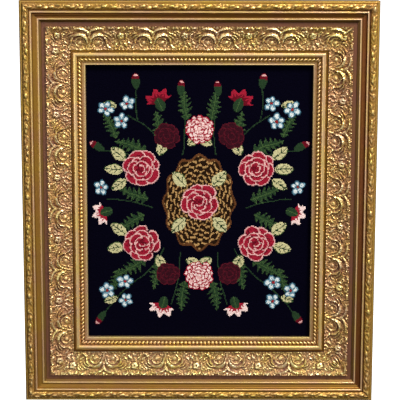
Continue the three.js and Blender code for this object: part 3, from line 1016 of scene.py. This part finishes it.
class Chart:
    """The rug's knots, coloured motif by motif. across and up are millimetres from its middle."""

    def __init__(self, width, height, knot, ground):
        self.random = np.random.default_rng(SEED + 1)
        columns, rows = round(width / knot), round(height / knot)
        right = (np.arange(columns) + 0.5) * width / columns - width / 2
        above = (np.arange(rows) + 0.5) * height / rows - height / 2
        across, up = np.meshgrid(right, above)
        radius = STRAYING["radius"]
        sway = [blurred(self.random.random(across.shape) - 0.5, radius) for _ in range(2)]
        sway = [STRAYING["sway"] * field / np.abs(field).max() for field in sway]
        jitter = STRAYING["jitter"] * (self.random.random((2, rows, columns)) - 0.5)
        self.across = across + sway[0] + jitter[0]
        self.up = up + sway[1] + jitter[1]
        self.colour = np.empty((rows, columns, 3))
        self.colour[:] = ground
        self.pile = np.zeros((rows, columns))

    def local(self, across, up, degrees):
        """Coordinates about a motif's foot: out along its direction, and to its side."""
        turn = math.radians(degrees)
        right, above = self.across - across, self.up - up
        out = right * math.cos(turn) + above * math.sin(turn)
        side = -right * math.sin(turn) + above * math.cos(turn)
        return out, side

    def fill(self, mask, yarn):
        self.colour[mask] = paint(YARNS[yarn])
        self.pile[mask] = MOTIF_PILE

    def fade(self, mask, first, second, share):
        """Knots that pass from one yarn to another, mixed at random as the share grows."""
        picks = mask & (self.random.random(share.shape) < share)
        self.fill(mask & ~picks, first)
        self.fill(picks, second)


def layered_flower(chart, across, up, radius, rings, colours, turn=0.0):
    """A full flower of overlapping petals, from the outside in, each with a pale outer edge."""
    fill, deep, edge = colours
    for share, count, size in rings:
        for i in range(count):
            swing, push, swell = chart.random.random(3) - 0.5
            degrees = turn + 40 * share + 360 * (i + 0.45 * swing) / count
            away = radius * share * (1 + 0.14 * push)
            heading = math.radians(degrees)
            place = (across + away * math.cos(heading), up + away * math.sin(heading))
            out, side = chart.local(*place, degrees + 30 * swing)
            length = radius * size * (1 + 0.2 * swell)
            reach = np.hypot(out / length, side / (length * 1.3))
            chart.fade(reach < 1, fill, deep, np.clip(0.45 - 0.9 * out / length, 0, 0.95))
            rim = (reach < 1) & (reach > 1 - 1.75 / length) & (out > -0.25 * length)
            chart.fill(rim, edge)


def star_flower(chart, across, up, radius, turn=0.0):
    """A small open flower with five pale petals, blue at their edges, and a red heart."""
    for i in range(5):
        swing, swell = chart.random.random(2) - 0.5
        out, side = chart.local(across, up, turn + 72 * (i + 0.25 * swing))
        size = radius * (1 + 0.2 * swell)
        reach = np.hypot((out - size * 0.58) / (size * 0.44), side / (size * 0.36))
        chart.fill(reach < 1.12, "sea")
        chart.fill(reach < 0.92, "sky")
        chart.fade(reach < 0.66, "snow", "sky", np.clip(1 - out / size * 1.6, 0, 1))
    out, side = chart.local(across, up, 0)
    distance = np.hypot(out, side)
    chart.fill(distance < radius * 0.22, "bark")
    chart.fill(distance < radius * 0.14, "crimson")


def fan_flower(chart, across, up, radius, degrees, colours):
    """A half-open flower seen from its side: a fringed fan over a green cup."""
    tip, heart = colours
    out, side = chart.local(across, up, degrees)
    distance, angle = np.hypot(out, side), np.arctan2(side, out)
    fringe = radius * (0.86 + 0.14 * np.cos(9 * angle))
    fan = (distance < fringe) & (np.abs(angle) < 1.25)
    chart.fill(fan, tip)
    chart.fill(fan & (distance < fringe * 0.74) & (np.abs(np.sin(4.5 * angle)) > 0.35), heart)
    chart.fill(fan & (distance < radius * 0.5), heart)
    cup = np.hypot(out / (radius * 0.42), side / (radius * 0.3)) < 1
    chart.fill(cup, "leaf")
    chart.fill(cup & (np.abs(side) < 0.9), "moss")


def feather_leaf(chart, across, up, length, degrees, bend):
    """A long dark leaf cut into points along both sides."""
    out, side = chart.local(across, up, degrees)
    share = np.clip(out / length, 0, 1)
    side = side - bend * length * share**2
    saw = (share * 6 - np.abs(side) / length * 5) % 1
    half = length * 0.27 * np.sin(math.pi * share**0.8) ** 0.8 * (0.18 + 0.82 * (1 - saw))
    inside = (out > 0) & (out < length) & (np.abs(side) < half)
    chart.fade(inside, "leaf", "moss", np.clip(np.abs(side) / (half + 1e-6) * 0.5, 0, 1))
    chart.fill(inside & (np.abs(side) < 0.8), "moss")


def pale_leaf(chart, across, up, length, degrees):
    """A short broad leaf of pale wool with dark veins."""
    out, side = chart.local(across, up, degrees)
    share = np.clip(out / length, 0, 1)
    half = length * 0.3 * np.sin(math.pi * share**0.85) ** 0.7
    inside = (out > 0) & (out < length) & (np.abs(side) < half)
    chart.fill(inside, "cream")
    ribs = ((out - np.abs(side) * 0.9) % (length * 0.26) < 1.7) & (np.abs(side) < half * 0.72)
    veins = (np.abs(side) < 0.85) | ribs
    chart.fill(inside & veins & (share > 0.08), "leaf")
    chart.fill(inside & (half - np.abs(side) < 1.3) & (side < 0), "moss")


def bud(chart, across, up, length, degrees):
    """A closed bud: a red point with a pink tip, in a green cup."""
    out, side = chart.local(across, up, degrees)
    reach = np.hypot((out - length / 2) / (length / 2), side / (length * 0.24))
    chart.fill(reach < 1, "leaf")
    chart.fill((reach < 1) & (out > length * 0.62), "wine")
    chart.fill((reach < 0.9) & (out > length * 0.84), "pink")


def stem(chart, start, end, bow):
    """A thin stalk on a bowed line between two points."""
    right, above = end[0] - start[0], end[1] - start[1]
    length = math.hypot(right, above)
    out, side = chart.local(*start, math.degrees(math.atan2(above, right)))
    share = np.clip(out / length, 0, 1)
    line = bow * length * 4 * share * (1 - share)
    chart.fill((out > 0) & (out < length) & (np.abs(side - line) < 0.95), "leaf")


def medallion(chart, shape):
    """The oval middle: rows of wavy golden wool on brown, like plaited straw."""
    right, above = chart.across / shape["half_width"], chart.up / shape["half_height"]
    distance, angle = np.hypot(right, above), np.arctan2(above, right)
    lobes = 1 + 0.045 * np.cos(12 * angle)
    inside = distance < lobes
    rows = distance * shape["rows"]
    wave = rows + 0.22 * np.sin(18 * angle + 2 * np.floor(rows))
    row = wave % 1
    chart.fill(inside, "umber")
    plait = inside & (row > 0.3) & (row < 0.78)
    plait &= np.sin(26 * angle + 2.4 * np.floor(wave)) > -0.75
    chart.fade(plait, "bark", "tan", np.clip(1.35 - np.abs(row - 0.52) * 4.5, 0, 1))
    chart.fill(inside & (distance > lobes - 0.05), "bark")


# The rug's layout for its right half, in millimetres and degrees, mirrored about its upright middle
# line. Each row has a motif's place across and up from the middle, and then its own sizes.
# Columns: both ends and the bow.
STEMS = [
    ((60, 96), (128, 158), 0.08),
    ((78, 66), (176, 96), 0.06),
    ((64, -84), (122, -150), -0.08),
    ((30, 88), (34, 196), 0.05),
    ((34, -92), (52, -190), -0.05),
    ((84, -10), (168, 6), 0.05),
    ((110, 150), (112, 208), -0.06),
    ((120, -150), (172, -206), 0.05),
]
# Columns: across, up, length, direction and bend.
FEATHERS = [
    (58, 108, 62, 62, 0.16),
    (96, 92, 60, 28, -0.14),
    (92, 6, 58, 14, 0.12),
    (100, -22, 56, -24, -0.14),
    (66, -104, 60, -66, -0.14),
    (98, -104, 58, -38, 0.12),
    (22, 150, 54, 74, 0.18),
    (24, -146, 56, -72, -0.16),
    (146, -122, 50, -80, 0.14),
    (150, 118, 48, 70, -0.14),
]
# Columns here and in BUDS: across, up, length and direction.
PALE_LEAVES = [
    (134, 78, 34, 44),
    (138, 60, 34, 4),
    (132, 42, 32, -34),
    (74, 88, 32, 118),
    (132, -58, 34, 34),
    (136, -80, 34, -12),
    (78, -98, 32, -118),
    (24, 30, 36, 48),
    (26, -28, 36, -48),
    (148, 176, 26, 10),
    (150, -176, 26, -20),
    (22, 106, 30, 150),
    (22, -104, 30, -150),
]
BUDS = [
    (112, 206, 30, 82),
    (172, 96, 30, 30),
    (172, -204, 28, -52),
    (34, 194, 28, 96),
]
# Columns: across, up, radius and turn.
STARS = [
    (140, 148, 14.5, 20),
    (168, 170, 14, 50),
    (130, 180, 13.5, 0),
    (136, -148, 14.5, 35),
    (168, -164, 14, 10),
    (134, -182, 13.5, 60),
    (178, 28, 13, 25),
]
# Columns: across, up, radius, direction, and the yarns of the tip and the heart.
FANS = [
    (70, 178, 30, 70, ("crimson", "wine")),
    (168, -18, 27, -18, ("blush", "crimson")),
    (66, -186, 28, -74, ("blush", "crimson")),
]
# A full flower's rings of petals: share of its radius, count, and size of a petal.
ROSE = ((0.66, 7, 0.34), (0.4, 6, 0.3), (0.2, 4, 0.24), (0.04, 1, 0.17))
FRILLED = ((0.8, 13, 0.17), (0.62, 11, 0.18), (0.42, 8, 0.19), (0.22, 5, 0.18), (0.03, 1, 0.16))
ROUND = ((0.68, 8, 0.3), (0.36, 6, 0.28), (0.06, 2, 0.22))
# Columns: across, up, radius, rings, the yarns of fill, depth and edge, and turn.
FLOWERS = [
    (104, 62, 33, ROSE, ("crimson", "wine", "pink"), 12),
    (104, -76, 33, ROSE, ("crimson", "wine", "pink"), 40),
    (58, 122, 24, ROUND, ("maroon", "maroon", "garnet"), 5),
    (56, -132, 22, ROUND, ("maroon", "maroon", "garnet"), 5),
]
# The flowers on the middle line, which aren't mirrored, without the column across.
MIDDLE_FLOWERS = [
    (134, 28, FRILLED, ("blush", "pink", "crimson"), 0),
    (-136, 28, FRILLED, ("blush", "pink", "crimson"), 30),
    (0, 34, ROSE, ("crimson", "wine", "pink"), 18),
]


def facing(side, degrees):
    """A direction of the right half as it is on this side: 1 for the right half, -1 for the left."""
    return degrees if side > 0 else 180 - degrees


def rug_chart(width, height, knot, ground):
    """The rug's generic floral design: an oval middle, with sprays of flowers to each side."""
    chart = Chart(width, height, knot, ground)
    for side in (1, -1):
        for start, end, bow in STEMS:
            stem(chart, (side * start[0], start[1]), (side * end[0], end[1]), side * bow)
        for across, up, length, degrees, bend in FEATHERS:
            feather_leaf(chart, side * across, up, length, facing(side, degrees), side * bend)
    medallion(chart, MEDALLION)
    for side in (1, -1):
        for across, up, length, degrees in PALE_LEAVES:
            pale_leaf(chart, side * across, up, length, facing(side, degrees))
        for across, up, length, degrees in BUDS:
            bud(chart, side * across, up, length, facing(side, degrees))
        for across, up, radius, degrees, colours in FANS:
            fan_flower(chart, side * across, up, radius, facing(side, degrees), colours)
        for across, up, radius, turn in STARS:
            star_flower(chart, side * across, up, radius, facing(side, turn))
        for across, up, radius, rings, colours, turn in FLOWERS:
            layered_flower(chart, side * across, up, radius, rings, colours, side * turn)
    for up, radius, rings, colours, turn in MIDDLE_FLOWERS:
        layered_flower(chart, 0, up, radius, rings, colours, turn)
    return chart


def tufted_face(chart):
    """The corners of the rug's knots on its face, in metres, with the motifs' pile the taller."""
    rows, columns = chart.pile.shape
    padded = np.pad(chart.pile, 1, mode="edge")
    tall = (padded[:-1, :-1] + padded[1:, :-1] + padded[:-1, 1:] + padded[1:, 1:]) / 4
    nap = chart.random.random(tall.shape) - 0.5
    swell = blurred(chart.random.random(tall.shape) - 0.5, NAP["radius"])
    swell /= np.abs(swell).max()
    depth = NAP["ground"] - tall - NAP["uneven"] * nap - NAP["swell"] * swell
    x = np.linspace(RUG_LOW.x, RUG_HIGH.x, columns + 1)
    z = np.linspace(RUG_LOW.z, RUG_HIGH.z, rows + 1)
    xs, zs = np.meshgrid(x, z)
    return np.stack([xs, RUG_LOW.y + depth * MM, zs], axis=-1)


def make_rug(settings, pile, back):
    """The knotted rug: a face of uneven tufts, cut sides and a flat knotted back."""
    flat = (RUG_HIGH.x - RUG_LOW.x, RUG_HIGH.z - RUG_LOW.z)
    chart = rug_chart(flat[0] / MM, flat[1] / MM, settings.knot_size / MM, tuple(settings.ground))
    rows, columns = chart.pile.shape
    top = tufted_face(chart).reshape(-1, 3)
    grid = np.arange(len(top)).reshape(rows + 1, columns + 1)
    ring = np.concatenate([grid[0, :-1], grid[:-1, -1], grid[-1, :0:-1], grid[:0:-1, 0]])
    under = top[ring].copy()
    under[:, 1] = RUG_HIGH.y
    points = np.vstack([top, under])
    corners = [grid[:-1, :-1], grid[:-1, 1:], grid[1:, 1:], grid[1:, :-1]]
    faces = np.stack([c.ravel() for c in corners], axis=1).tolist()
    count = len(ring)
    first = len(top)
    for i in range(count):
        j = (i + 1) % count
        faces.append([int(ring[j]), int(ring[i]), first + i, first + j])
    faces.append([first + i for i in range(count)][::-1])
    knots = np.repeat(chart.colour.reshape(-1, 3), 4, axis=0)
    sides = np.tile(tuple(settings.ground), (4 * count, 1))
    warp = np.tile(paint(YARNS["warp"]), (count, 1))
    attributes = {"yarn": ("FLOAT_COLOR", "CORNER", with_alpha(np.vstack([knots, sides, warp])))}
    face_materials = [0] * (rows * columns + count) + [1]
    piece = make_piece("knotted_rug", points, faces, [pile, back], attributes, face_materials)
    settle(piece, "pile", "rug")


class FRAMED_RUG_OT_rails(bpy.types.Operator):
    """Make the four lengths of gilt moulding"""

    bl_idname = "framed_rug.rails"
    bl_label = "Rails"

    def execute(self, context):
        patina = tuple(context.scene.framed_rug.patina)
        gilt = gilt_material("gilt_leaf", patina, GILT_GRAIN["rail"])
        fine, coarse = WOOD_GRAIN["across"], WOOD_GRAIN["along"]
        level = wood_material("bare_wood_level", (coarse, fine, fine))
        upright = wood_material("bare_wood_upright", (fine, fine, coarse))
        for rail in RAILS:
            make_rail(rail, [gilt, upright if rail.along[2] else level])
        return {"FINISHED"}


class FRAMED_RUG_OT_ornament(bpy.types.Operator):
    """Make the carved bands and the leaf rims"""

    bl_idname = "framed_rug.ornament"
    bl_label = "Carved bands and rims"

    def execute(self, context):
        settings = context.scene.framed_rug
        patina = tuple(settings.patina)
        material = gilt_material("aged_gilt_leaf", patina, GILT_GRAIN["ornament"])
        relief = ornament_relief()
        cavity = relief.cavity(CAVITY_RADIUS["band"])
        leaves = rim_relief()
        leaf_cavity = leaves.cavity(CAVITY_RADIUS["rim"])
        for rail in RAILS:
            make_ornament(rail, relief, cavity, settings.relief_cell / MM, material)
            make_rim(rail, leaves, leaf_cavity, material)
        return {"FINISHED"}


class FRAMED_RUG_OT_beads(bpy.types.Operator):
    """Make the four runs of beads"""

    bl_idname = "framed_rug.beads"
    bl_label = "Beads"

    def execute(self, context):
        patina = tuple(context.scene.framed_rug.patina)
        material = gilt_material("bead_gilt_leaf", patina, GILT_GRAIN["bead"])
        for rail in RAILS:
            make_beads(rail, material)
        return {"FINISHED"}


class FRAMED_RUG_OT_rug(bpy.types.Operator):
    """Make the knotted rug"""

    bl_idname = "framed_rug.rug"
    bl_label = "Rug"

    def execute(self, context):
        settings = context.scene.framed_rug
        pile = pile_material("wool_pile", settings.knot_size, TUFT_RELIEF["face"])
        back = pile_material("knotted_back", settings.knot_size, TUFT_RELIEF["back"])
        make_rug(settings, pile, back)
        return {"FINISHED"}


def soft_light(name, place, aim, size, power, colour):
    """A large square light that faces a point."""
    light = bpy.data.lights.new(name, "AREA")
    light.shape = "SQUARE"
    light.size = size
    light.energy = power
    light.color = colour
    lamp = bpy.data.objects.new(name, light)
    lamp.location = place
    lamp.rotation_euler = (Vector(aim) - Vector(place)).to_track_quat("-Z", "Y").to_euler()
    bpy.context.scene.collection.objects.link(lamp)


def make_world():
    """A pale studio: white to the eye, with a darker room for the gilding to reflect."""
    shader = Shader(bpy.data.worlds.new("studio"), "Background", "Generated")
    sides = {0: shader.place, 1: Vector(ROOM["window"]).normalized()}
    towards = shader.node("ShaderNodeVectorMath", {"operation": "DOT_PRODUCT"}, sides, "Value")
    room = towards.ramp(*ROOM["turn"], *ROOM["light"])
    seen = shader.node("ShaderNodeLightPath", output="Is Camera Ray")
    strength = shader.node("ShaderNodeMix", values={0: seen, 2: room, 3: 1.0})
    bpy.context.scene.world = shader.finish({"Color": (1, 1, 1), "Strength": strength})


def make_floor():
    """A plain white floor under the frame, lit so that it stays white to the eye."""
    half = FLOOR["half"]
    z = BOTTOM * MM - FLOOR["below"]
    mesh = bpy.data.meshes.new("floor")
    corners = [(-half, -half, z), (half, -half, z), (half, half, z), (-half, half, z)]
    mesh.from_pydata(corners, [], [(0, 1, 2, 3)])
    white = {
        "Base Color": (FLOOR["shade"],) * 3,
        "Roughness": 1,
        "Emission Color": (1, 1, 1),
        "Emission Strength": FLOOR["glow"],
    }
    mesh.materials.append(Shader(bpy.data.materials.new("white_floor")).finish(white))
    floor = bpy.data.objects.new("floor", mesh)
    floor.visible_diffuse = False
    floor.visible_glossy = False
    bpy.context.scene.collection.objects.link(floor)


def make_camera():
    """The camera in front of the frame and a little above its middle."""
    aim = Vector((CAMERA_AIM[0], CAMERA_AIM[1], MIDDLE_Z * MM + CAMERA_AIM[2]))
    azimuth, elevation = (math.radians(CAMERA[key]) for key in ("azimuth", "elevation"))
    level = math.cos(elevation)
    back = Vector((math.sin(azimuth) * level, -math.cos(azimuth) * level, math.sin(elevation)))
    data = bpy.data.cameras.new("camera")
    data.sensor_width = SENSOR_WIDTH
    data.lens = SENSOR_WIDTH / 2 / math.tan(math.radians(CAMERA["field"]) / 2)
    camera = bpy.data.objects.new("camera", data)
    camera.location = aim + back * CAMERA["distance"]
    roll = Quaternion((0, 0, 1), math.radians(CAMERA["roll"]))
    camera.rotation_euler = ((-back).to_track_quat("-Z", "Y") @ roll).to_euler()
    bpy.context.scene.collection.objects.link(camera)
    bpy.context.scene.camera = camera


class FRAMED_RUG_OT_stage(bpy.types.Operator):
    """Make the floor, the soft studio light and the camera"""

    bl_idname = "framed_rug.stage"
    bl_label = "Stage"

    def execute(self, context):
        make_world()
        make_floor()
        make_camera()
        middle = (0, 0, MIDDLE_Z * MM)
        power = context.scene.framed_rug.key_power
        for name, place, size, share, colour in LAMPS:
            soft_light(name, place, middle, size, power * share, colour)
        context.scene.view_settings.view_transform = "Standard"
        return {"FINISHED"}


STEPS = (
    FRAMED_RUG_OT_rails,
    FRAMED_RUG_OT_ornament,
    FRAMED_RUG_OT_beads,
    FRAMED_RUG_OT_rug,
    FRAMED_RUG_OT_stage,
)


class FRAMED_RUG_PT_panel(bpy.types.Panel):
    """The steps and settings of the framed rug"""

    bl_idname = "FRAMED_RUG_PT_panel"
    bl_label = "Framed Rug"
    bl_space_type = "VIEW_3D"
    bl_region_type = "UI"
    bl_category = "Framed Rug"

    def draw(self, context):
        settings = context.scene.framed_rug
        for name in ("knot_size", "relief_cell", "ground", "patina", "key_power"):
            self.layout.prop(settings, name)
        for step in STEPS:
            self.layout.operator(step.bl_idname)


CLASSES = (FramedRugSettings, *STEPS, FRAMED_RUG_PT_panel)


def register():
    for made in CLASSES:
        bpy.utils.register_class(made)
    bpy.types.Scene.framed_rug = bpy.props.PointerProperty(type=FramedRugSettings)


def unregister():
    del bpy.types.Scene.framed_rug
    for made in reversed(CLASSES):
        bpy.utils.unregister_class(made)


def main():
    register()
    bpy.ops.framed_rug.rails()
    bpy.ops.framed_rug.ornament()
    bpy.ops.framed_rug.beads()
    bpy.ops.framed_rug.rug()
    bpy.ops.framed_rug.stage()


if __name__ == "__main__":
    main()
